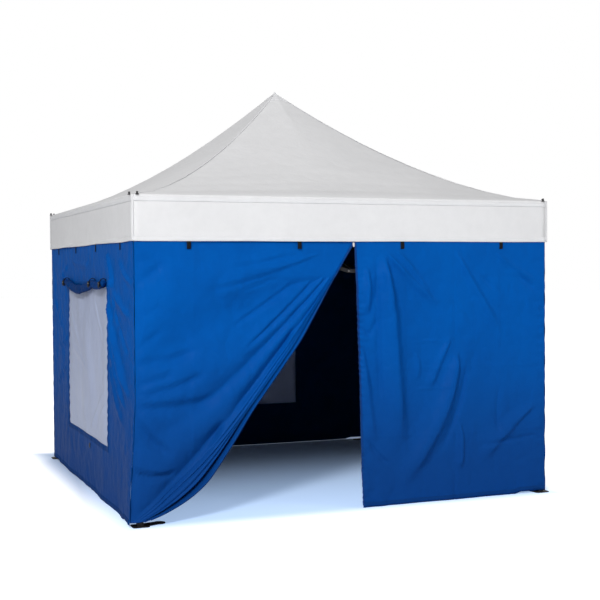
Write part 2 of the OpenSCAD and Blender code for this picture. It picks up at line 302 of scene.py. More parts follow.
class Nodes:
    """A node tree, of a material or of the world, with short calls for the nodes used here."""

    def __init__(self, owner, surface="Principled BSDF", space="Object"):
        owner.use_nodes = True
        self.owner = owner
        self.tree = owner.node_tree
        self.shader = self.tree.nodes[surface]
        self.where = self.tree.nodes.new("ShaderNodeTexCoord").outputs[space]

    def add(self, kind, **values):
        node = self.tree.nodes.new(kind)
        for key, value in values.items():
            if hasattr(node, key):
                setattr(node, key, value)
            else:
                node.inputs[key.replace("_", " ")].default_value = value
        return node

    def link(self, a, b):
        self.tree.links.new(a, b)

    def noise(self, scale, detail=3.0, rough=0.5, stretch=None):
        node = self.add("ShaderNodeTexNoise", Scale=scale, Detail=detail, Roughness=rough)
        source = self.where
        if stretch:
            mapping = self.add("ShaderNodeMapping")
            mapping.inputs["Scale"].default_value = stretch
            self.link(source, mapping.inputs["Vector"])
            source = mapping.outputs["Vector"]
        self.link(source, node.inputs["Vector"])
        return node.outputs["Fac"]

    def wave(self, direction, scale):
        node = self.add("ShaderNodeTexWave", Scale=scale, bands_direction=direction)
        self.link(self.where, node.inputs["Vector"])
        return node.outputs["Fac"]

    def math(self, operation, a, b):
        node = self.add("ShaderNodeMath", operation=operation)
        for i, v in enumerate((a, b)):
            if isinstance(v, (int, float)):
                node.inputs[i].default_value = v
            else:
                self.link(v, node.inputs[i])
        return node.outputs[0]

    def ramp(self, fac, start, end, low=0.0, high=1.0, kind="SMOOTHSTEP"):
        """low where fac is at start, high where it is at end."""
        node = self.add("ShaderNodeMapRange", interpolation_type=kind)
        self.link(fac, node.inputs["Value"])
        for key, v in (("From Min", start), ("From Max", end), ("To Min", low), ("To Max", high)):
            node.inputs[key].default_value = v
        return node.outputs[0]

    def spread(self, fac, low, high):
        """Maps a 0 to 1 value onto low to high."""
        return self.ramp(fac, 0, 1, low, high, "LINEAR")

    def along(self, axis):
        """The place along one axis, in metres."""
        split = self.add("ShaderNodeSeparateXYZ")
        self.link(self.where, split.inputs[0])
        return split.outputs[axis]

    def mix(self, fac, a, b):
        node = self.add("ShaderNodeMix", data_type="RGBA")
        self.link(fac, node.inputs["Factor"])
        for socket, v in ((6, a), (7, b)):
            if isinstance(v, tuple):
                node.inputs[socket].default_value = (*v, 1)
            else:
                self.link(v, node.inputs[socket])
        return node.outputs[2]

    def bump(self, height, strength, distance, before=None):
        node = self.add("ShaderNodeBump", Strength=strength, Distance=distance)
        self.link(height, node.inputs["Height"])
        if before is not None:
            self.link(before, node.inputs["Normal"])
        return node.outputs["Normal"]

    def finish(self, color=None, roughness=None, normal=None, **values):
        for socket, v in (("Base Color", color), ("Roughness", roughness), ("Normal", normal)):
            if isinstance(v, tuple):
                self.shader.inputs[socket].default_value = (*v, 1)
            elif isinstance(v, (int, float)):
                self.shader.inputs[socket].default_value = v
            elif v is not None:
                self.link(v, self.shader.inputs[socket])
        for key, v in values.items():
            self.shader.inputs[key.replace("_", " ")].default_value = v
        return self.owner


def cloth_material(name, color, shade, roughness, crease, gloss, low=1.0):
    """Coated woven cloth: two close colours in patches, a weave and creases, and, where low is below 1,
    painted shade that darkens the lower part."""
    m = Nodes(bpy.data.materials.new(name))
    patches = m.spread(m.noise(2.2, 5, 0.6), -0.5, 1.3)
    fine = m.noise(14, 4, 0.6)
    base = m.mix(patches, color, shade)
    tinted = m.mix(m.spread(fine, -0.15, 0.22), base, tuple(0.8 * c for c in shade))
    if low < 1:
        # painted shade: from 1.35 m down to 0.1 m the colour is mixed, up to 85 %, towards low times the
        # shade colour
        painted_low_shade = (low * shade[0] + 0.004, low * shade[1], low * shade[2])
        tinted = m.mix(m.math("MULTIPLY", m.ramp(m.along("Z"), 1.35, 0.1), 0.85), tinted, painted_low_shade)
    weave = m.math("MULTIPLY", m.wave("X", 190), m.wave("Z", 190))
    small = m.bump(m.noise(34, 6, 0.62), crease, 0.008)
    ridges = m.math("ABSOLUTE", m.math("SUBTRACT", m.noise(4.6, 2.5, 0.5, (1, 1, 0.7)), 0.5), 0)
    crumpled = m.bump(ridges, crease * 1.6, 0.05, small)
    folds = m.bump(m.noise(9, 4, 0.5, (1, 1, 0.45)), crease, 0.024, crumpled)
    normal = m.bump(weave, 0.12, 0.0006, folds)
    rough = m.spread(fine, roughness - 0.07, roughness + 0.09)
    return m.finish(tinted, rough, normal, Specular_IOR_Level=gloss)


def plain_material(name, color, roughness, metallic=0.0, depth=0.15, wear=0.5, shine=0.5):
    """Plastic, paint or metal with slight tone changes, handling marks and a fine surface."""
    m = Nodes(bpy.data.materials.new(name))
    marks = m.noise(18, 6, 0.65)
    tone = m.mix(m.spread(marks, -0.6, 1.1), color, tuple(wear * c + 0.006 for c in color))
    rough = m.spread(m.noise(40, 5, 0.7), roughness - 0.1, roughness + 0.12)
    normal = m.bump(m.noise(720, 3), depth, 0.0004)
    return m.finish(tone, rough, normal, Metallic=metallic, Specular_IOR_Level=shine)


def webbing_material(name, color):
    """Woven strap with ribs across it."""
    m = Nodes(bpy.data.materials.new(name))
    ribs = m.math("MULTIPLY", m.wave("X", 110), m.wave("Z", 220))
    tone = m.mix(ribs, color, tuple(2.2 * c + 0.01 for c in color))
    return m.finish(tone, 0.75, m.bump(ribs, 0.6, 0.001), Specular_IOR_Level=0.1)


def film_material():
    """Milky flexible window sheet, part clear and part scattering."""
    m = Nodes(bpy.data.materials.new("window_film"))
    cloudy = m.noise(3.5, 4, 0.6, (1, 1, 0.5))
    tone = m.mix(m.spread(cloudy, -0.2, 1.2), (0.52, 0.59, 0.79), (0.41, 0.47, 0.65))
    ripples = m.bump(m.noise(6, 3, 0.5, (1, 1, 0.35)), 0.5, 0.02)
    return m.finish(tone, 0.3, ripples, Transmission_Weight=0.12, IOR=1.25)


BLUE = (0.0008, 0.092, 0.40)
BLUE_SHADE = (0.0012, 0.074, 0.335)
# painted shade: a darker copy of the wall blue for the inside faces of the walls, for the shade inside the
# canopy
INSIDE_PAINTED_SHADE = (0.0005, 0.028, 0.10)
INSIDE_PAINTED_SHADE_PATCH = (0.0005, 0.022, 0.08)
mats = {
    "roof": cloth_material("roof_cloth", (0.75, 0.75, 0.758), (0.70, 0.70, 0.708), 0.7, 0.10, 0.2),
    # painted shade: the last number, 0.6, of wall and hem darkens their lower part
    "wall": cloth_material("wall_cloth", BLUE, BLUE_SHADE, 0.42, 0.3, 0.014, 0.6),
    # painted shade: the walls' inside faces, a darker copy of the wall blue
    "wall_inside_painted_shade": cloth_material("wall_cloth_inside_painted_shade", INSIDE_PAINTED_SHADE, INSIDE_PAINTED_SHADE_PATCH, 0.7, 0.2, 0.02),
    "hem": cloth_material("wall_hem", (0.0008, 0.074, 0.32), (0.001, 0.058, 0.26), 0.5, 0.4, 0.014, 0.6),
    "white_hem": cloth_material("roof_hem", (0.75, 0.752, 0.765), (0.70, 0.702, 0.715), 0.72, 0.16, 0.2),
    "film": film_material(),
    "strap": webbing_material("black_webbing", (0.006, 0.006, 0.007)),
    "black": plain_material("black_plastic", (0.012, 0.012, 0.013), 0.42, depth=0.3, wear=2.2),
    "bracket": plain_material("bracket_nylon", (0.018, 0.018, 0.02), 0.6, depth=0.3, wear=1.5, shine=0.25),
    "paint": plain_material("powder_coat", (0.014, 0.014, 0.016), 0.5, depth=0.35, wear=1.3, shine=0.2),
    "steel": plain_material("zinc_steel", (0.26, 0.26, 0.27), 0.36, 1.0, wear=0.7),
    "alloy": plain_material("mast_alloy", (0.68, 0.69, 0.70), 0.34, 1.0, wear=0.85),
    "roll": cloth_material("roll_cloth", (0.0015, 0.042, 0.19), (0.0015, 0.03, 0.14), 0.5, 0.4, 0.014),
    "zip": webbing_material("zip_tape", (0.001, 0.035, 0.17)),
    "teeth": plain_material("zip_teeth", (0.01, 0.05, 0.2), 0.35),
    "cord": plain_material("pull_tab", (0.78, 0.77, 0.74), 0.55),
    "toggle": plain_material("toggle", (0.01, 0.01, 0.011), 0.3),
}

# -------- places on a wall


def on_wall(side, u, z, out=0.0):
    """Points on a wall's outer face: u to the right seen from outside, out away from the face."""
    (nx, ny), (ux, uy) = SIDES[side]
    u, z, out = np.broadcast_arrays(u, z, out)
    n = WALL_OUT + out
    return np.stack([u * ux + n * nx, u * uy + n * ny, z], axis=-1)


def stroke(u, z, start, bend, end, width, height):
    """A fold along a curved line: a smooth ridge that is steeper on one side and fades at its ends."""
    t = np.linspace(0, 1, 26)
    p0, p1, p2 = (np.array(p, float) for p in (start, bend, end))
    line = np.outer((1 - t) ** 2, p0) + np.outer(2 * t * (1 - t), p1) + np.outer(t**2, p2)
    best = np.full(np.shape(u), 1e9)
    signed, along = best, np.zeros(np.shape(u))
    for k in range(len(t) - 1):
        a, d = line[k], line[k + 1] - line[k]
        s = np.clip(((u - a[0]) * d[0] + (z - a[1]) * d[1]) / (d @ d), 0, 1)
        du, dz = u - a[0] - s * d[0], z - a[1] - s * d[1]
        dist = np.hypot(du, dz)
        nearer = dist < best
        best = np.where(nearer, dist, best)
        along = np.where(nearer, (k + s) / (len(t) - 1), along)
        signed = np.where(nearer, np.where(du * d[1] - dz * d[0] > 0, dist, -dist * 1.9), signed)
    fade = smooth(along, 0, 0.18) * (1 - smooth(along, 0.75, 1.0))
    w = width * (0.35 + 0.65 * smooth(along, 0, 0.5))
    return height * np.exp(-((signed / w) ** 2)) * fade


def strokes(u, z, folds):
    total = np.zeros(np.broadcast(u, z).shape)
    for fold in folds:
        total = total + stroke(u, z, *fold)
    return total


def hang(u, z, depth, seed):
    """Quiet undulation of a hanging wall, none at its top or at the legs."""
    free = smooth(WALL_END - np.abs(u), 0.0, 0.22) * smooth(VALANCE_LOW - z, -0.02, 0.35)
    waves = 0.6 * noise(u * 1.7 + 3, z * 0.5, seed) + 0.4 * noise(u * 3.9, z * 0.8 + 5, seed + 1)
    return depth * waves * free


def creases(u, z, height, seed):
    """Packing creases and crumple over the whole cloth."""
    free = 0.25 + 0.75 * smooth(VALANCE_LOW - z, 0.0, 0.25)
    fine = 1.3 * crumple(u * 3.1, z * 2.3, seed) + 1.1 * crumple(u * 7.3, z * 5.5, seed + 3, 3)
    patch = 0.35 + 0.65 * smooth(noise(u * 2.3, z * 2.0, seed + 5), -0.3, 0.5)
    lines = 0.0
    for k in range(-2, 3):
        lines = lines + np.exp(-(((u - 0.372 * k * 2 - 0.37) / 0.012) ** 2))
    for level in (0.47, 0.93, 1.39):
        lines = lines + np.exp(-(((z - level + 0.01 * noise(u * 3, level, seed)) / 0.010) ** 2))
    return height * free * (1.25 * fine * patch + 0.32 * lines)


def clear_of_frame(u, z, out):
    """Keeps wall cloth outside the trusses and legs, and inside the valance."""
    inward = 0.006 + 0.05 * smooth(1.57 - z, 0, 0.12) * smooth(WALL_END - 0.085 - np.abs(u), 0, 0.05)
    outward = 0.0055 + 0.08 * smooth(VALANCE_LOW - 0.012 - z, 0, 0.16)
    return np.clip(out, -inward, outward)


def corner_kick(u, z):
    """How far the cloth at the near corner stands out over the foot."""
    return 0.045 * (1 - smooth(z, 0.0, 0.85)) * smooth(np.abs(u), WALL_END - 0.55, WALL_END)


def low_edge(u):
    """Lowest height of the wall cloth: just off the ground, and higher over the feet."""
    return HEM_Z - (HEM_Z - 0.002) * smooth(WALL_END - 0.2 - np.abs(u), 0, 0.06)


def pucker(u, z, line_u, height, seed, pitch=0.045):
    """Short wrinkles across an upright seam."""
    near = np.exp(-(((u - line_u) / 0.05) ** 2))
    wave = np.sin(2 * math.pi * z / pitch + 2.5 * noise(z * 9, line_u, seed))
    return height * near * wave * (0.5 + 0.5 * noise(z * 4, 2.0, seed + 1))


# -------- roof


HIP_D = np.unique(np.round(from_middle, 4))
HIP_Z = np.array([roof_verts[np.abs(from_middle - d) < 1e-4, 2].max() for d in HIP_D])
apart = np.concatenate([[True], np.diff(HIP_D) > 0.004])
HIP_D, HIP_Z = HIP_D[apart], HIP_Z[apart]
PANEL_RIDGE = 0.055  # how far a panel's middle stands proud of the hips
EAVE_ROUND = 0.012  # radius over the eave


def roof_profile(d):
    """Height of the hips at a distance from the middle, measured across a side, read from the CAD roof."""
    return np.interp(d, HIP_D, HIP_Z)


def roof_surface(x, y):
    """Height of the roof cloth: its hips, the panels proud of them in their middles, and wrinkles."""
    d = np.maximum(np.abs(x), np.abs(y))
    across = np.minimum(np.abs(x), np.abs(y)) / np.maximum(d, 1e-6)
    rise = PANEL_RIDGE * np.sin(math.pi * np.clip(d / HALF, 0, 1)) ** 0.7
    panel = rise * (1 - across ** (1.0 + 0.9 * (d / HALF) ** 2))
    ripple = 0.0022 * noise(x * 3, y * 3, 11) * smooth(d, 0.05, 0.4) * smooth(HALF - d, 0.0, 0.2)
    return roof_profile(d) + panel + ripple


def square_ring(count, crowd=1.0):
    """Points round a square of half width 1, count to a side; a crowd below 1 moves them to the corners."""
    step = np.linspace(-1, 1, count, endpoint=False)
    step = np.sign(step) * np.abs(step) ** crowd
    one = np.ones(count)
    sides = ((step, -one), (one, step), (-step, one), (-one, -step))
    return np.concatenate([np.stack(pair, 1) for pair in sides])


def build_roof():
    ring = square_ring(56, 0.85)
    d = HALF * np.linspace(0, 1, 78) ** 1.15
    d = d[d < HALF - EAVE_ROUND]
    rings = []
    for dist in np.maximum(d, 0.004):
        x, y = ring[:, 0] * dist, ring[:, 1] * dist
        rings.append(np.stack([x, y, roof_surface(x, y)], 1))
    for a in np.linspace(0.15, 1, 6) * math.pi / 2:
        reach = HALF - EAVE_ROUND * (1 - math.sin(a))
        drop = EAVE_ROUND * (1 - math.cos(a)) * 0.7
        x, y = ring[:, 0] * reach, ring[:, 1] * reach
        rings.append(np.stack([x, y, np.full(len(ring), EAVE - drop)], 1))
    for z in np.linspace(EAVE - 0.02, VALANCE_LOW, 22):
        rings.append(valance_ring(ring, z, 0.0))
    roof = sheet("roof_cloth", rings, mats["roof"], wrap=True)
    attach(roof, thickness=0.0014, replaced="roof_canopy")


def valance_ring(ring, z, lift):
    """Points round the valance at a height; its free lower edge waves a little."""
    along = np.where(np.abs(ring[:, 0]) >= 1, ring[:, 1], ring[:, 0]) * HALF
    side_id = np.where(ring[:, 1] <= -1, 0, np.where(ring[:, 0] >= 1, 1, np.where(ring[:, 1] >= 1, 2, 3)))
    low = smooth(EAVE - z, 0.02, EAVE - VALANCE_LOW)
    quiet = np.where(side_id == 0, 0.35, 1.0)
    wave = noise(along * 2.2 + 9 * side_id, z * 0.7, 21) + 0.4 * noise(along * 6 + 5 * side_id, z * 2, 22)
    edge = smooth(HALF - np.abs(along), 0.0, 0.1)
    out = lift + quiet * np.maximum(0.007 * low * wave, -0.0025) * edge
    dip = quiet * 0.004 * low * noise(along * 2.6 + 4 * side_id, 1.0, 23) * edge
    n = HALF + out
    x = np.where(side_id == 1, n, np.where(side_id == 3, -n, ring[:, 0] * (HALF + lift)))
    y = np.where(side_id == 0, -n, np.where(side_id == 2, n, ring[:, 1] * (HALF + lift)))
    return np.stack([x, y, np.full(len(ring), z) + dip], 1)


def build_valance_bands():
    """Doubled hems along the valance's two edges, with their rows of stitches."""
    ring = square_ring(90)
    bands = {  # top, low, and how proud the low edge is
        "upper": (EAVE - 0.016, EAVE - 0.046, 0.1),
        "lower": (VALANCE_LOW + 0.028, VALANCE_LOW - 0.001, 0.6),
    }
    for tag, (top, low, last) in bands.items():
        lifts = 0.0012 * np.array([0.2, 0.7, 0.8, 0.6, last]) + 0.0007
        rings = [valance_ring(ring, z, k) for z, k in zip(np.linspace(top, low, 5), lifts)]
        band = sheet(f"valance_hem_{tag}", rings, mats["white_hem"], wrap=True)
        attach(band, thickness=0.0008)


SEAM = 0.011  # width of a hip seam
SEAM_FOLD = 0.009  # how far a valance corner's seam reaches round onto each side
SEAM_ACROSS = np.array([-1, -0.85, 0, 0.85, 1])
FOLD_ACROSS = np.array([-1, -0.7, 0, 0.7, 1])
SEAM_LIFT = np.array([0.0006, 0.0022, 0.003, 0.0022, 0.0006])


def build_hip_seams():
    """A flat felled seam down each hip and a short upright one at each valance corner."""
    for corner, (sx, sy) in CORNERS.items():
        d = np.linspace(0.03, HALF - 0.012, 60)
        z = np.linspace(EAVE - 0.004, VALANCE_LOW, 24)
        hip, upright = [], []
        for k, fold, lift in zip(SEAM_ACROSS, FOLD_ACROSS, SEAM_LIFT):
            x, y = sx * (d + k * SEAM / 2), sy * (d - k * SEAM / 2)
            hip.append(np.stack([x, y, roof_profile(d) + lift + 0.0004 * np.sin(d * 500)], 1))
            x = sx * (HALF + lift + SEAM_FOLD * min(fold, 0))
            y = sy * (HALF + lift - SEAM_FOLD * max(fold, 0))
            upright.append(np.stack([np.full_like(z, x), np.full_like(z, y), z], 1))
        for name, rows in (("hip_seam", hip), ("valance_seam", upright)):
            attach(sheet(f"{name}_{corner}", rows, mats["white_hem"]), thickness=0.001)


PATCH = 0.085  # half width of the doubled patch at the peak
BUTTON_RISE = np.array([0.0, 0.004, 0.008, 0.011, 0.013, 0.0142])
BUTTON_RADIUS = (0.0085, 0.0095, 0.009, 0.007, 0.004, 0.0008)


def build_peak():
    """Doubled patch over the mast's cap and the small button sewn on top."""
    ring = square_ring(24)
    rings = []
    for dist in np.linspace(0.003, PATCH, 12):
        x, y = ring[:, 0] * dist, ring[:, 1] * dist
        rings.append(np.stack([x, y, roof_surface(x, y) + 0.0022], 1))
    attach(sheet("peak_patch", rings, mats["white_hem"], wrap=True), thickness=0.0012)
    points = np.stack([np.zeros(6), np.zeros(6), PEAK - 0.003 + BUTTON_RISE], 1)
    attach(tube("peak_button", points, BUTTON_RADIUS, mats["white_hem"], 20))


build_roof()
build_valance_bands()
build_hip_seams()
build_peak()

# -------- front wall, hanging half

RIGHT_FOLDS = (
    ((0.22, 1.72), (0.28, 1.25), (0.34, 0.26), 0.100, 0.044),
    ((0.17, 1.72), (0.15, 1.20), (0.20, 0.60), 0.018, -0.010),
    ((0.09, 1.62), (0.12, 1.48), (0.08, 1.28), 0.035, 0.018),
    ((0.06, 1.22), (0.12, 1.10), (0.16, 1.30), 0.022, -0.009),
    ((0.22, 1.74), (0.40, 1.55), (0.66, 1.33), 0.030, 0.014),
    ((0.30, 1.74), (0.45, 1.62), (0.58, 1.42), 0.022, 0.011),
    ((0.78, 1.72), (0.93, 1.45), (1.14, 1.16), 0.040, 0.015),
    ((0.86, 1.72), (0.96, 1.58), (1.10, 1.44), 0.018, -0.007),
    ((1.08, 1.72), (1.20, 1.62), (1.44, 1.50), 0.025, 0.010),
    ((1.16, 1.66), (1.28, 1.56), (1.46, 1.42), 0.020, -0.008),
    ((0.78, 1.06), (0.76, 0.60), (0.32, 0.10), 0.085, 0.034),
    ((0.86, 0.98), (0.84, 0.62), (0.62, 0.30), 0.030, -0.012),
    ((0.74, 1.14), (0.62, 0.95), (0.56, 0.76), 0.035, 0.015),
    ((0.80, 0.54), (0.83, 0.36), (0.80, 0.20), 0.030, 0.017),
    ((1.42, 0.64), (1.18, 0.50), (0.98, 0.24), 0.060, 0.020),
    ((1.45, 0.42), (1.20, 0.38), (0.94, 0.36), 0.022, -0.009),
    ((1.12, 0.80), (1.10, 0.60), (1.12, 0.40), 0.018, -0.008),
    ((0.05, 1.10), (0.09, 0.80), (0.14, 0.40), 0.045, 0.015),
    ((0.10, 0.46), (0.16, 0.34), (0.26, 0.28), 0.024, -0.009),
    ((0.42, 1.10), (0.57, 1.12), (0.74, 1.10), 0.010, 0.004),
    ((0.42, 0.78), (0.57, 0.78), (0.74, 0.80), 0.010, 0.004),
    ((0.46, 1.04), (0.50, 0.95), (0.47, 0.84), 0.022, 0.008),
)


def right_half_out(u, z):
    out = hang(u, z, 0.018, 31) + 1.4 * strokes(u, z, RIGHT_FOLDS) + creases(u, z, 0.0065, 33)
    out = out + pucker(u, z, 0.03, 0.004, 35) + pucker(u, z, 1.47, 0.004, 36, 0.07)
    out = out - 0.004 * np.exp(-(((u - 0.76) / 0.006) ** 2))
    return clear_of_frame(u, z, out * smooth(WALL_END + 0.012 - u, 0.0, 0.05))


def zip_edge_u(z):
    """The hanging half's zipped edge leans a little away from the closed line."""
    return 0.008 + 0.05 * (ZIP_TOP - np.minimum(z, ZIP_TOP)) / ZIP_TOP


def build_right_half():
    z = np.linspace(WALL_TOP, HEM_Z, 190)
    share = np.linspace(0, 1, 140)
    zz, ss = np.meshgrid(z, share, indexing="ij")
    zz = zz + (low_edge(ss * WALL_END) - HEM_Z) * (1 - smooth(zz, HEM_Z, 0.2))
    left = zip_edge_u(zz)
    end = WALL_END + 0.003 * np.sin(zz * 31 + 2 * noise(zz * 3, 0.0, 41)) * smooth(1.7 - zz, 0, 0.2)
    uu = left + (end - left) * ss
    points = on_wall("front", uu, zz, right_half_out(uu, zz))
    attach_wall(sheet("front_wall_right_cloth", points, mats["wall"]), "front", "front_wall_right")


build_right_half()

# -------- front wall, drawn-back half

HEM_EDGE = np.array(  # the free edge from the zip's top to the near foot, u and z
    [(0.0, 1.782), (-0.17, 1.50), (-0.386, 1.13), (-0.598, 0.85), (-0.737, 0.672), (-0.84, 0.51),
     (-0.942, 0.368), (-1.026, 0.246), (-1.103, 0.181), (-1.175, 0.126), (-1.322, 0.061), (-1.40, 0.04)]
)
edge_steps = np.concatenate([[0], np.cumsum(np.hypot(*np.diff(HEM_EDGE, axis=0).T))])
edge_even = np.linspace(0, edge_steps[-1], 201)
EDGE_LINE = np.stack([np.interp(edge_even, edge_steps, HEM_EDGE[:, k]) for k in (0, 1)], 1)
for _ in range(60):
    EDGE_LINE[1:-1] = (EDGE_LINE[:-2] + 2 * EDGE_LINE[1:-1] + EDGE_LINE[2:]) / 4
SWING = math.radians(32.5)  # how far the door turns about the zip's top to close
DOOR_VALLEYS = (  # start, bend, end, width and depth of the hollows between the door's folds
    ((-1.58, 1.03), (-1.27, 1.01), (-1.06, 1.12), 0.028, -0.020),
    ((-1.57, 0.87), (-1.38, 0.90), (-1.22, 0.97), 0.025, -0.017),
    ((-1.60, 0.82), (-1.25, 0.83), (-1.02, 0.97), 0.030, -0.024),
    ((-1.60, 0.77), (-1.25, 0.71), (-0.92, 0.80), 0.050, -0.024),
    ((-1.56, 0.80), (-1.46, 0.57), (-1.22, 0.43), 0.032, -0.024),
    ((-1.57, 0.40), (-1.34, 0.27), (-1.20, 0.34), 0.028, -0.022),
    ((-1.57, 1.07), (-1.43, 1.14), (-1.30, 1.25), 0.023, -0.014),
    ((-1.56, 1.29), (-1.40, 1.33), (-1.30, 1.40), 0.019, -0.010),
    ((-1.56, 1.50), (-1.40, 1.56), (-1.30, 1.66), 0.021, -0.014),
    ((-1.56, 1.66), (-1.42, 1.66), (-1.33, 1.70), 0.017, -0.010),
    ((-0.90, 0.66), (-1.06, 0.39), (-1.35, 0.13), 0.075, -0.030),
    ((-0.97, 1.60), (-0.52, 1.66), (0.20, 1.85), 0.024, -0.014),
    ((-1.06, 1.47), (-0.60, 1.53), (0.16, 1.84), 0.030, -0.014),
    ((-0.84, 1.46), (-0.48, 1.55), (0.18, 1.88), 0.022, -0.013),
    ((-0.92, 1.20), (-0.52, 1.43), (0.14, 1.90), 0.028, -0.016),
    ((-0.82, 1.06), (-0.44, 1.34), (0.10, 1.92), 0.028, -0.018),
    ((-0.40, 1.26), (-0.61, 0.92), (-0.88, 0.66), 0.045, -0.020),
)


def fan_curve(phi, t):
    """Points u, z on a smooth fan of lines from the zip's top to the corner."""
    s_z = ZIP_TOP + np.maximum(-phi, 0) * 1.2
    e_u = np.interp(phi, [0.62, 1], [-WALL_END, -1.40])
    e_z = np.interp(phi, [-0.1, 0, 0.62, 1], [WALL_TOP, 1.78, 0.03, 0.035])
    c_u = np.interp(phi, [0, 0.28, 0.62, 1], [-0.75, -0.85, -0.88, -0.93])
    c_z = e_z + np.interp(phi, [0, 0.28, 0.62, 1], [0, 0.12, 0.46, 0.24])
    near_s = np.interp(phi, [0.62, 1], [2 / 3, 0.88])
    near_e = np.interp(phi, [0.62, 1], [2 / 3, 0.85])
    p1 = (near_s * c_u, s_z + near_s * (c_z - s_z))
    p2 = (e_u + near_e * (c_u - e_u), e_z + near_e * (c_z - e_z))
    a, b, c, d = (1 - t) ** 3, 3 * t * (1 - t) ** 2, 3 * t * t * (1 - t), t**3
    return b * p1[0] + c * p2[0] + d * e_u, a * s_z + b * p1[1] + c * p2[1] + d * e_z


EDGE_T = np.linspace(0, 1, len(EDGE_LINE))
EDGE_FIT = EDGE_LINE - np.stack(fan_curve(1.0, EDGE_T), 1)


def curve_between(phi, t):
    """Points u, z on the door's fold lines: the fan, bent so that phi 1 is the free edge."""
    u, z = fan_curve(phi, t)
    near = smooth(phi, 0.72, 1.0)
    return u + near * np.interp(t, EDGE_T, EDGE_FIT[:, 0]), z + near * np.interp(t, EDGE_T, EDGE_FIT[:, 1])


def door_out(phi, t, u, z):
    """Folds that start at the zip's top and get closer and deeper towards the free edge."""
    small = 1e-3
    u1, z1 = curve_between(phi + small, t)
    gap = np.hypot(u1 - u, z1 - z) / small
    per_phi = 3 + 15 * np.maximum(phi, 0) ** 2
    phase = 2 * math.pi * (3 * phi + 5 * np.maximum(phi, 0) ** 3) + 1.9 * noise(phi * 5 + 2, t * 3.2, 51)
    profile = 2 * np.sqrt(np.sin(phase / 2) ** 2 + 0.015) - 1
    slope = np.interp(phi, [-0.1, 0.2, 0.6, 1], [0.14, 0.24, 0.50, 0.66])
    slope = slope * (1 + 0.6 * smooth(-t, -0.35, -0.1))
    depth = np.minimum(0.034, slope * gap / per_phi / 4)
    strength = 0.55 + 0.55 * noise(phi * 7, t * 2.6, 52)
    fade = smooth(t, 0.0, 0.06) * (1 - 0.75 * smooth(t, 0.86, 1.0))
    out = depth * profile * strength * fade
    low = smooth(t, 0.12, 0.55)
    out = out - 0.050 * np.exp(-(((phi - 0.925) / 0.022) ** 2)) * low * (1 - smooth(t, 0.93, 1.0))
    out = out + 0.022 * np.exp(-(((phi - 0.972) / 0.018) ** 2)) * low
    out = out + 1.25 * strokes(u, z, DOOR_VALLEYS) * (1 - smooth(phi, 0.86, 0.97))
    out = out + creases(u, z, 0.006, 53) * (1 - 0.5 * smooth(phi, 0.7, 1))
    out = out + 0.02 * noise(u * 1.6, z * 1.3, 54) * smooth(WALL_END + u, 0.0, 0.4) * smooth(-u, 0.0, 0.3)
    out = out + pucker(u, z, -1.47, 0.004, 55, 0.06)
    near_leg = smooth(WALL_END + u, 0.0, 0.06)
    out = out * (0.25 + 0.75 * near_leg) + 0.012 * smooth(t, 0.75, 0.95) * smooth(phi, 0.6, 0.9)
    out = out + 0.016 * near_leg * (1 - smooth(WALL_END + u, 0.10, 0.34)) * smooth(1.68 - z, 0, 0.3)
    return clear_of_frame(u, z, out)


def swing_weight(u, z):
    """How much the door cloth goes with its zipped edge, kept above the ground when closed."""
    edge_u = np.interp(-z, -HEM_EDGE[:, 1], HEM_EDGE[:, 0])
    share = np.clip((WALL_END + u) / np.maximum(WALL_END + edge_u, 0.02), 0, 1)
    drop = np.maximum(ZIP_TOP - z, 1e-4)
    angle = np.arctan2(np.maximum(-u, 0), drop)
    edge_angle = np.arctan2(-edge_u, drop)
    turn = np.clip((math.pi / 2 - angle) / np.maximum(math.pi / 2 - edge_angle, 0.02), 0, 1) ** 0.7
    w = share * turn * smooth(ZIP_TOP + 0.01 - z, 0, 0.03)
    fall = math.sin(SWING) * np.maximum(-u, 0) - (1 - math.cos(SWING)) * drop
    limit = np.where(fall > 1e-4, (z - 0.012) / np.maximum(fall, 1e-4), 1)
    return np.clip(np.minimum(w, limit), 0, 1)


def door_points(phi, t, lift=0.0):
    u, z = curve_between(phi, t)
    return on_wall("front", u - corner_kick(u, z), z, door_out(phi, t, u, z) + lift)


def build_door():
    phi = np.concatenate([np.linspace(-0.1, 0.55, 70, endpoint=False), np.linspace(0.55, 1, 110)])
    t = np.linspace(0, 1, 170) ** 1.15
    pp, tt = np.meshgrid(phi, t, indexing="ij")
    cloth = sheet("front_wall_door_cloth", door_points(pp, tt), mats["wall"])
    attach_wall(cloth, "front", "front_wall_door", True)


build_door()

# -------- zip


ZIP_TAPE = 0.014  # width of the tape on each half
OUTWARD = np.array([0.0, -1.0, 0.0])  # out of the front


def tape_along(name, centre, across, replaced=None, swing=False):
    """A zip tape: a flat strip, a little proud along its middle, along a line of points."""
    rows = []
    for k in (-1, -0.6, 0, 0.6, 1):
        rows.append(centre + across * (k * ZIP_TAPE / 2) + 0.0008 * OUTWARD * (1 - 0.3 * abs(k)))
    attach(sheet(name, rows, mats["zip"]), "front", 0.001, replaced, swing)


def teeth_along(name, centre, swing=False):
    """A coil of small teeth along a zip edge."""
    _, side, up = frames(centre)
    turns = np.arange(len(centre)) * 1.6
    coil = centre + 0.0024 * (np.cos(turns)[:, None] * side + np.sin(turns)[:, None] * up)
    attach(tube(name, coil, 0.0009, mats["teeth"], 5), "front", swing=swing)


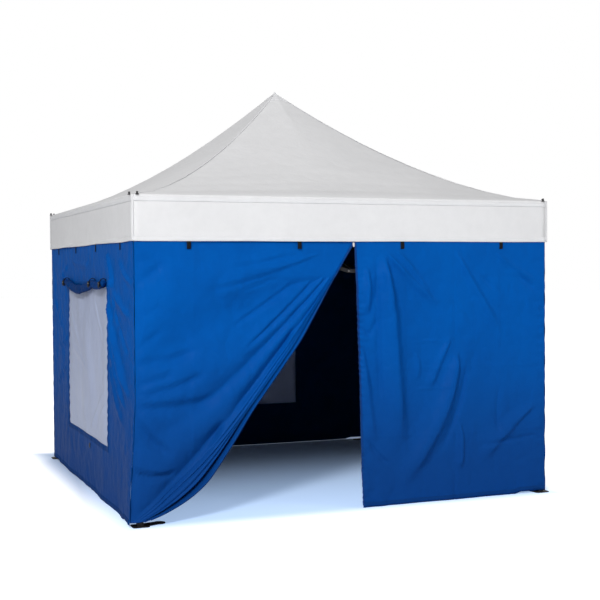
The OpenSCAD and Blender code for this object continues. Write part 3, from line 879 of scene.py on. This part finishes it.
def build_zip():
    z = np.linspace(ZIP_TOP, HEM_Z + 0.004, 240)
    u = zip_edge_u(z) + 0.004
    line = on_wall("front", u, z, right_half_out(u, z) + 0.0012)
    tape_along("zip_tape_right", line, np.array([1.0, 0, 0]))
    z = np.linspace(ZIP_TOP, HEM_Z + 0.004, 1100)
    u = zip_edge_u(z) - 0.0035
    teeth_along("zip_teeth_right", on_wall("front", u, z, right_half_out(u + 0.006, z) + 0.001))
    t = np.linspace(0.0, 0.985, 260)
    line = door_points(np.full_like(t, 0.994), t, 0.0014)
    tape_along("zip_tape_door", line, np.cross(frames(line)[0], OUTWARD), "door_zip_edge", True)
    t = np.linspace(0.0, 0.985, 1300)
    teeth_along("zip_teeth_door", door_points(np.ones_like(t), t, 0.001), True)


build_zip()

# -------- walls with windows

LEFT_FOLDS = (
    ((0.76, 1.46), (0.98, 1.12), (1.40, 0.76), 0.050, 0.036),
    ((0.74, 1.20), (0.92, 0.98), (1.32, 0.66), 0.035, 0.024),
    ((0.80, 1.60), (1.00, 1.45), (1.44, 1.28), 0.035, 0.020),
    ((0.72, 1.74), (0.86, 1.64), (0.98, 1.46), 0.030, 0.022),
    ((1.10, 1.70), (1.24, 1.58), (1.44, 1.52), 0.025, 0.016),
    ((0.76, 0.98), (0.94, 0.80), (1.22, 0.56), 0.045, 0.018),
    ((0.84, 1.52), (1.06, 1.26), (1.42, 1.02), 0.024, -0.014),
    ((-0.76, 1.10), (-0.92, 1.00), (-1.20, 0.98), 0.035, 0.012),
    ((-0.78, 0.84), (-1.00, 0.80), (-1.34, 0.62), 0.030, 0.012),
    ((-0.74, 1.66), (-0.90, 1.56), (-1.30, 1.50), 0.045, 0.016),
    ((-1.40, 1.40), (-1.20, 1.20), (-0.95, 1.14), 0.030, 0.010),
    ((-0.60, 1.70), (-0.30, 1.64), (0.20, 1.66), 0.030, 0.010),
)
BACK_FOLDS = (
    ((-1.40, 1.60), (-1.20, 1.35), (-0.85, 1.25), 0.040, 0.014),
    ((1.38, 1.52), (1.15, 1.30), (0.82, 1.20), 0.040, 0.014),
    ((-1.30, 1.10), (-1.10, 0.75), (-0.80, 0.60), 0.050, 0.012),
    ((1.30, 0.95), (1.10, 0.70), (0.85, 0.62), 0.045, 0.012),
    ((-0.30, 1.72), (0.00, 1.62), (0.35, 1.70), 0.030, 0.008),
)
RIGHT_SIDE_FOLDS = (
    ((-0.80, 1.44), (-1.00, 1.15), (-1.36, 0.86), 0.045, 0.018),
    ((0.80, 1.40), (1.02, 1.15), (1.32, 0.80), 0.045, 0.018),
    ((0.78, 0.98), (0.98, 0.82), (1.26, 0.56), 0.040, 0.012),
    ((-1.38, 1.62), (-1.12, 1.50), (-0.82, 1.58), 0.035, 0.012),
    ((-0.20, 1.72), (0.05, 1.64), (0.40, 1.69), 0.030, 0.009),
)
FILM_FOLDS = (
    ((0.10, 0.44), (0.30, 0.62), (0.62, 0.78), 0.035, 0.010),
    ((0.30, 0.44), (0.46, 0.60), (0.70, 0.70), 0.025, 0.008),
    ((-0.66, 1.05), (-0.30, 0.98), (0.10, 0.86), 0.035, 0.007),
    ((0.20, 1.46), (0.34, 1.20), (0.66, 1.08), 0.030, 0.007),
    ((-0.60, 1.30), (-0.45, 1.10), (-0.20, 1.02), 0.030, 0.006),
)
WALL_LOOKS = {  # side: folds, seed, columns, rows
    "left": (LEFT_FOLDS, 61, 150, 170),
    "back": (BACK_FOLDS, 71, 110, 120),
    "right": (RIGHT_SIDE_FOLDS, 81, 110, 120),
}


def side_out(side, u, z):
    folds, seed = WALL_LOOKS[side][:2]
    beside = smooth(np.abs(u), WIN_HALF - 0.10, WIN_HALF + 0.10)
    above = smooth(z, WIN_HIGH - 0.05, WIN_HIGH + 0.08)
    below = 1 - smooth(z, WIN_LOW - 0.12, WIN_LOW + 0.02)
    open_cloth = np.maximum(np.maximum(beside, above), below)
    out = hang(u, z, 0.018, seed) + strokes(u, z, folds)
    out = out + creases(u, z, 0.006, seed + 2) * (0.25 + 0.75 * open_cloth)
    out = out + pucker(u, z, WALL_END - 0.02, 0.004, seed + 4, 0.06)
    out = out + pucker(u, z, -WALL_END + 0.02, 0.004, seed + 5, 0.06)
    for edge in (-WIN_HALF, WIN_HALF):
        near = smooth(z, WIN_LOW - 0.05, WIN_LOW) * (1 - smooth(z, WIN_HIGH, WIN_HIGH + 0.05))
        out = out + pucker(u, z, edge, 0.003, seed + 6, 0.07) * near
    ends = smooth(WALL_END + 0.012 - np.abs(u), 0.0, 0.05)
    out = clear_of_frame(u, z, out * ends)
    return out + corner_kick(u, z) * (np.asarray(u) > 0) if side == "left" else out


def split_line(stops, count):
    """A line of numbers with even steps that lands on every stop."""
    total = stops[-1] - stops[0]
    parts = []
    for a, b in zip(stops, stops[1:]):
        n = max(2, round(count * abs(b - a) / abs(total)))
        parts.append(np.linspace(a, b, n, endpoint=False))
    return np.concatenate(parts + [[stops[-1]]])


ROLL_TOGGLES = (-0.68, 0.31, 0.70)  # places along the wall
ROLL_RADIUS = 0.025
ROLL_SAG = 0.055  # deepest scallop between two toggles


def roll_centre(u):
    """Height of the rolled-up cover: it hangs in shallow scallops between its toggles."""
    sag = np.zeros_like(u)
    stops = (-WIN_HALF - 0.03,) + ROLL_TOGGLES + (WIN_HALF + 0.03,)
    for a, b in zip(stops, stops[1:]):
        s = np.clip((u - a) / (b - a), 0, 1)
        sag = sag + 4 * s * (1 - s) * ROLL_SAG * min(1, (b - a) / 0.9)
    return WIN_HIGH + 0.020 - sag


def build_roll(side):
    """The window cover, rolled up loosely and held by toggles."""
    seed = WALL_LOOKS[side][1] + 20
    u = np.linspace(-WIN_HALF - 0.015, WIN_HALF + 0.015, 150)
    z = roll_centre(u)
    radius = ROLL_RADIUS + 0.005 * noise(u * 7, 0.0, seed)
    squeeze = 1 - 0.42 * sum(np.exp(-(((u - toggle) / 0.03) ** 2)) for toggle in ROLL_TOGGLES)
    centre = on_wall(side, u, z, side_out(side, u, z) + 0.027)
    around = np.linspace(0, 2 * math.pi, 26, endpoint=False)
    (nx, ny), (ux, uy) = SIDES[side]
    outward, up = np.array([nx, ny, 0.0]), np.array([0, 0, 1.0])
    uu, aa = np.meshgrid(u, around, indexing="ij")
    lumps = 0.13 * np.sin(aa * 3 + 9 * uu + 2 * noise(uu * 4, 0.0, seed))
    rr = (radius * squeeze)[:, None] * (1 + lumps)
    rr = rr + 0.0016 * noise(uu * 26, np.cos(aa) * 2, seed + 1)
    cross = np.cos(aa)[..., None] * outward + 1.25 * np.sin(aa)[..., None] * up
    points = centre[:, None, :] + rr[..., None] * cross
    attach(sheet(f"window_roll_{side}", points, mats["roll"], wrap=True, caps=True), side)
    for k, toggle in enumerate(ROLL_TOGGLES):
        spot = float(roll_centre(np.array([toggle]))[0])
        a = np.linspace(0, 2 * math.pi, 25)
        loop_out = 0.023 + 0.025 * np.cos(a) + float(side_out(side, toggle, spot))
        loop = on_wall(side, toggle, spot + 0.030 * np.sin(a), loop_out)
        strap = tube(f"roll_strap_{side}_{k}", loop, 0.0032, mats["strap"], 6)
        step = np.linspace(-1, 1, 5)
        bar = on_wall(side, toggle + 0.003 * step, spot - 0.012 - 0.022 * step, loop_out.max() + 0.006)
        thick = (0.004, 0.0075, 0.0085, 0.0075, 0.004)
        button = tube(f"roll_toggle_{side}_{k}", bar, thick, mats["toggle"], 12)
        attach(joined(f"roll_tie_{side}_{k}", [strap, button]), side)


BORDER = 0.026  # width of the doubled border round a window
FILM_LAP = 0.018  # how far the film runs under the border


def build_window_border(side):
    """A flat binding sewn round the window opening."""
    mid, tall = (WIN_LOW + WIN_HIGH) / 2, (WIN_HIGH - WIN_LOW) / 2
    corners = [(-WIN_HALF, WIN_LOW), (WIN_HALF, WIN_LOW), (WIN_HALF, WIN_HIGH), (-WIN_HALF, WIN_HIGH)]
    path = []
    for (a, b), (c, d) in zip(corners, corners[1:] + corners[:1]):
        n = max(10, int(math.hypot(c - a, d - b) / 0.02))
        s = np.linspace(0, 1, n, endpoint=False)
        path.append(np.stack([a + (c - a) * s, b + (d - b) * s], 1))
    path = np.concatenate(path)
    rows = []
    for k, lift in ((-0.35, 0.0004), (-0.3, 0.0020), (0.35, 0.0022), (1.0, 0.0020), (1.08, 0.0005)):
        u = path[:, 0] * (WIN_HALF + k * BORDER) / WIN_HALF
        z = mid + (path[:, 1] - mid) * (tall + k * BORDER) / tall
        rows.append(on_wall(side, u, z, side_out(side, u, z) + lift))
    attach(sheet(f"window_border_{side}", rows, mats["hem"], wrap=True), side, 0.001)


def build_film(side):
    """The flexible window sheet: slack, with soft upright waves and a few creases."""
    seed = WALL_LOOKS[side][1] + 9
    z = np.linspace(WIN_HIGH + FILM_LAP, WIN_LOW - FILM_LAP, 90)
    u = np.linspace(-WIN_HALF - FILM_LAP, WIN_HALF + FILM_LAP, 100)
    zz, uu = np.meshgrid(z, u, indexing="ij")
    inside = 1.0
    for room in (WIN_HALF - np.abs(uu), zz - WIN_LOW, WIN_HIGH - zz):
        inside = inside * smooth(room, 0.0, 0.14)
    soft = 0.010 * noise(uu * 2.6, zz * 1.1, seed) + 0.004 * noise(uu * 7 + zz * 3, zz * 2, seed + 1)
    wrinkle = strokes(uu, zz, FILM_FOLDS) + 0.0035 * crumple(uu * 4, zz * 2.4, seed + 2, 2)
    points = on_wall(side, uu, zz, side_out(side, uu, zz) - 0.0016 + (soft + wrinkle) * inside)
    attach(sheet(f"window_film_{side}", points, mats["film"]), side, 0.0006)


def wavy_edge(side, u):
    """The lower edge of a wall with a window, which isn't quite straight."""
    return low_edge(u) + 0.003 * np.maximum(noise(u * 2.3, 0.0, WALL_LOOKS[side][1] + 8), 0)


def build_window_wall(side):
    _, seed, cols, rows = WALL_LOOKS[side]
    z = split_line([WALL_TOP, WIN_HIGH, WIN_LOW, HEM_Z], rows)
    u = split_line([-WALL_END, -WIN_HALF, WIN_HALF, WALL_END], cols)
    zz, uu = np.meshgrid(z, u, indexing="ij")
    wave = 0.003 * np.sin(zz * 29 + seed) * smooth(1.7 - zz, 0, 0.2)
    warped = uu * (1 + wave * (np.abs(uu) > WIN_HALF + 0.05) * np.abs(uu) / WALL_END)
    if side == "left":
        warped = warped + 0.35 * corner_kick(uu, zz) * smooth(uu, WALL_END - 0.1, WALL_END)
    drop = wavy_edge(side, uu) - HEM_Z
    points = on_wall(side, warped, zz + drop * (1 - smooth(zz, HEM_Z, 0.3)), side_out(side, warped, zz))

    def keep(r, c):
        mid_u, mid_z = (u[c] + u[c + 1]) / 2, (z[r] + z[r + 1]) / 2
        return abs(mid_u) > WIN_HALF or not WIN_LOW < mid_z < WIN_HIGH

    attach_wall(sheet(f"{side}_wall_cloth", points, mats["wall"], keep=keep), side, f"{side}_wall")
    build_window_border(side)
    build_film(side)
    build_roll(side)


for wall_side in ("left", "right", "back"):
    build_window_wall(wall_side)

# -------- straps, buttons, seams and knobs

STRAPS = (-1.14, -0.39, 0.36, 1.13)  # places along each wall
STRAP_HALF = 0.0135  # half a strap's width
STRAP_END = 1.738  # height of its lower end


def wall_out(side, u, z):
    u, z = np.broadcast_arrays(u, z)
    if side != "front":
        return side_out(side, u, z)
    right = right_half_out(np.maximum(u, zip_edge_u(z)), z)
    door = 0.002 + 0.0055 * smooth(VALANCE_LOW + 0.004 - z, 0, 0.01)
    return np.where(u > 0, right, door)


def build_straps():
    """Four short straps a side that hold the wall up under the valance."""
    for side in SIDES:
        for k, u in enumerate(STRAPS):
            z = np.linspace(WALL_TOP - 0.02, STRAP_END, 14)
            rows = []
            for part in (-1, -0.5, 0, 0.5, 1):
                uu = u + part * STRAP_HALF + 0.001 * np.sin(z * 40)
                out = wall_out(side, uu, z) + 0.003 + 0.0008 * (1 - abs(part))
                hidden = smooth(z - VALANCE_LOW + 0.012, 0, 0.012)
                out = out + hidden * (np.minimum(out, 0.0028) - out)
                rows.append(on_wall(side, uu, z, out))
            attach(sheet(f"strap_{side}_{k}", rows, mats["strap"]), side, 0.0016)


SNAP_U = 0.094  # place along the wall
SNAP_DROP = 0.065  # how far below the window
SNAP_RADIUS = 0.019
SNAP_PROFILE = ((1.0, 0.0), (1.0, 0.004), (0.86, 0.006), (0.6, 0.0055), (0.45, 0.0075), (0.05, 0.008))


def build_snap(side):
    """A low round snap with a rim, under the window."""
    u, z = SNAP_U, WIN_LOW - SNAP_DROP
    a = np.linspace(0, 2 * math.pi, 20, endpoint=False)
    base = float(wall_out(side, u, z))
    rows = []
    for share, height in SNAP_PROFILE:
        r = SNAP_RADIUS * share
        rows.append(on_wall(side, u + r * np.cos(a), z + r * np.sin(a), base + height))
    snap = sheet(f"window_snap_{side}", rows, mats["toggle"], wrap=True, caps=True)
    attach(snap, side)


KNOB_RISE = np.array([0.0, 0.004, 0.006, 0.014, 0.017, 0.0195])
KNOB_RADIUS = (0.0105, 0.0105, 0.0065, 0.0065, 0.0085, 0.0045)
KNOB_PLACES = ((0.031, -0.004), (-0.004, 0.060))  # inwards from the roof's corner, along x and y


def build_knobs():
    """Two small tie knobs on the eave at each corner."""
    for corner, (sx, sy) in CORNERS.items():
        parts = []
        for k, (dx, dy) in enumerate(KNOB_PLACES):
            x, y = sx * (HALF - dx), sy * (HALF - dy)
            line = np.stack([np.full(6, x), np.full(6, y), EAVE - 0.004 + KNOB_RISE], 1)
            parts.append(tube(f"knob_{corner}_{k}", line, KNOB_RADIUS, mats["black"], 16))
        knobs = joined(f"eave_knobs_{corner}", parts)
        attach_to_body(knobs, "leg_" + corner)


HEM_ROWS = ((0.034, 0.0008), (0.033, 0.0018), (0.016, 0.0022), (0.001, 0.0018))  # above the edge, proud


def build_hems():
    """Doubled hem along each wall's lower edge."""
    for side in SIDES:
        start = 0.064 if side == "front" else -WALL_END
        u = np.linspace(start + 0.004, WALL_END - 0.004, 150)
        edge = low_edge(u) if side == "front" else wavy_edge(side, u)
        rows = []
        for above, lift in HEM_ROWS:
            rows.append(on_wall(side, u, edge + above, wall_out(side, u, HEM_Z + above) + lift))
        attach(sheet(f"wall_hem_{side}", rows, mats["hem"]), side, 0.001)


build_straps()
for wall_side in ("left", "right", "back"):
    build_snap(wall_side)
build_knobs()
build_hems()

# -------- finishes of the CAD pieces


def islands(mesh):
    """The index of the connected piece that each face belongs to."""
    parent = list(range(len(mesh.vertices)))

    def root(i):
        while parent[i] != i:
            parent[i] = parent[parent[i]]
            i = parent[i]
        return i

    places = {}
    for v in mesh.vertices:
        key = tuple(round(c * 1e5) for c in v.co)
        if key in places:
            parent[root(v.index)] = root(places[key])
        else:
            places[key] = v.index
    for p in mesh.polygons:
        first = root(p.vertices[0])
        for i in p.vertices[1:]:
            parent[root(i)] = first
            first = root(first)
    return [root(p.vertices[0]) for p in mesh.polygons]


def finish_of(name, low, high):
    """The finish of one solid of a node, from its own box."""
    size = sorted(high - low)
    if name.startswith(("arm_", "truss_")):
        if size[2] > 0.5:
            return "paint"
        return "steel" if abs(size[0] - 0.014) < 0.0015 and abs(size[1] - 0.014) < 0.0015 else "black"
    if name.startswith("leg_"):
        return "paint" if size[2] > 0.5 else "bracket" if low[2] > 1 else "black"
    if name.startswith("lock_buttons_"):
        return "steel"
    return {"mast": "alloy", "peak_cap": "black", "zip_pull": "cord"}.get(name, "bracket")


FOOT_TOP = 0.03


def finish_cad():
    for name, obj in frame["nodes"].items():
        mesh = obj.data
        mesh.materials.clear()
        co = coords(obj)
        if name.startswith("inner_leg_"):
            mesh.materials.append(mats["black"])
            mesh.materials.append(mats["paint"])
            tops = [co[list(p.vertices), 2].max() for p in mesh.polygons]
            mesh.polygons.foreach_set("material_index", [int(top > FOOT_TOP) for top in tops])
            continue
        owner = islands(mesh)
        used, index = [], {}
        for piece in sorted(set(owner)):
            ids = sorted({i for p, o in zip(mesh.polygons, owner) if o == piece for i in p.vertices})
            finish = finish_of(name, co[ids].min(0), co[ids].max(0))
            if finish not in used:
                used.append(finish)
                mesh.materials.append(mats[finish])
            index[piece] = used.index(finish)
        mesh.polygons.foreach_set("material_index", [index[o] for o in owner])


finish_cad()

# -------- camera, light and floor

CAMERA_PLACE = Vector((-3.202, -8.660, 1.601))
CAMERA_YAW = 21.45
CAMERA_PITCH = -1.47
CAMERA_ROLL = -0.38
FOCAL_SHARE = 1.9604
SENSOR = 36.0


def build_camera():
    data = bpy.data.cameras.new("camera")
    data.sensor_width = SENSOR
    data.lens = SENSOR * FOCAL_SHARE
    camera = bpy.data.objects.new("camera", data)
    bpy.context.scene.collection.objects.link(camera)
    camera.location = CAMERA_PLACE
    turn = Euler((math.radians(90 + CAMERA_PITCH), 0, math.radians(-CAMERA_YAW)), "XYZ").to_matrix()
    roll = Euler((0, 0, math.radians(CAMERA_ROLL)), "XYZ").to_matrix()
    camera.rotation_euler = (turn @ roll).to_euler()
    bpy.context.scene.camera = camera


def area_light(name, place, target, size, power):
    data = bpy.data.lights.new(name, "AREA")
    data.shape = "RECTANGLE"
    data.size, data.size_y = size
    data.energy = power
    lamp = bpy.data.objects.new(name, data)
    bpy.context.scene.collection.objects.link(lamp)
    lamp.location = place
    lamp.rotation_euler = (Vector(target) - Vector(place)).to_track_quat("-Z", "Y").to_euler()


LAMPS = (  # name, place, target, size, power
    ("front_light", (-8.6, -12.5, 9.2), (0, 0, 1.4), (2.6, 2.6), 1800),
    ("side_light", (7, -8, 5), (0.5, 0, 1.4), (3, 3), 135),
    ("back_light", (3, 9, 6), (0, 0, 1.4), (4, 3), 160),
)
SURROUND = ((0.0, 0.24), (0.5, 0.46), (0.62, 0.36), (1.0, 0.25))  # brightness from below to overhead


def build_stage():
    """Soft studio light: a pale surround that is dimmer overhead, three lamps and a pale floor, with
    painted blue bounce light and, for camera rays, a painted blue glow brighter towards the door on the
    floor under the canopy.
    """
    world = bpy.data.worlds.new("studio")
    bpy.context.scene.world = world
    w = Nodes(world, "Background", "Generated")
    ramp = w.add("ShaderNodeValToRGB")
    w.link(w.along("Z"), ramp.inputs["Fac"])
    for k, (place, value) in enumerate(SURROUND):
        stop = ramp.color_ramp.elements[k] if k < 2 else ramp.color_ramp.elements.new(place)
        stop.position = place
        stop.color = (value, value, 1.01 * value, 1)
    seen = w.add("ShaderNodeLightPath").outputs["Is Camera Ray"]
    w.link(w.mix(seen, ramp.outputs["Color"], (1, 1, 1)), w.shader.inputs["Color"])
    w.shader.inputs["Strength"].default_value = 1.0
    for lamp in LAMPS:
        area_light(*lamp)
    floor = new_mesh("floor", [(-60, -60, 0), (60, -60, 0), (60, 60, 0), (-60, 60, 0)], [(0, 1, 2, 3)])
    m = Nodes(bpy.data.materials.new("floor_with_painted_light"))
    x, y = m.along("X"), m.along("Y")
    beyond = m.math("MAXIMUM", m.math("MULTIPLY", y, -1), m.math("SUBTRACT", y, 0.17))
    away = m.ramp(m.math("MAXIMUM", m.math("ABSOLUTE", x, 0), beyond), 1.42, 1.75)
    pale = m.mix(m.noise(0.6, 2), (0.86, 0.87, 0.885), (0.84, 0.85, 0.865))
    # painted light: under the canopy the floor's colour is pale blue, for light bounced off the blue walls;
    # outside it is plain pale
    m.finish(m.mix(away, (0.56, 0.70, 0.92), pale), 0.7, Specular_IOR_Level=0.1)
    # painted light: for camera rays the floor under the canopy glows, brighter towards the door; outside
    # the canopy it glows evenly
    painted_door_light = m.ramp(y, 1.3, -1.7, 0.02, 1, "SMOOTHERSTEP")
    seen = m.add("ShaderNodeLightPath").outputs["Is Camera Ray"]
    even_glow_and_painted_light = m.math("MULTIPLY", m.math("MAXIMUM", away, painted_door_light), seen)
    m.link(even_glow_and_painted_light, m.shader.inputs["Emission Strength"])
    # the glow is painted blue light under the canopy and even white beyond it
    m.link(m.mix(away, (0.30, 0.42, 0.62), (0.85, 0.85, 0.85)), m.shader.inputs["Emission Color"])
    floor.data.materials.append(m.owner)
    bpy.context.scene.view_settings.view_transform = "Standard"


build_camera()
build_stage()
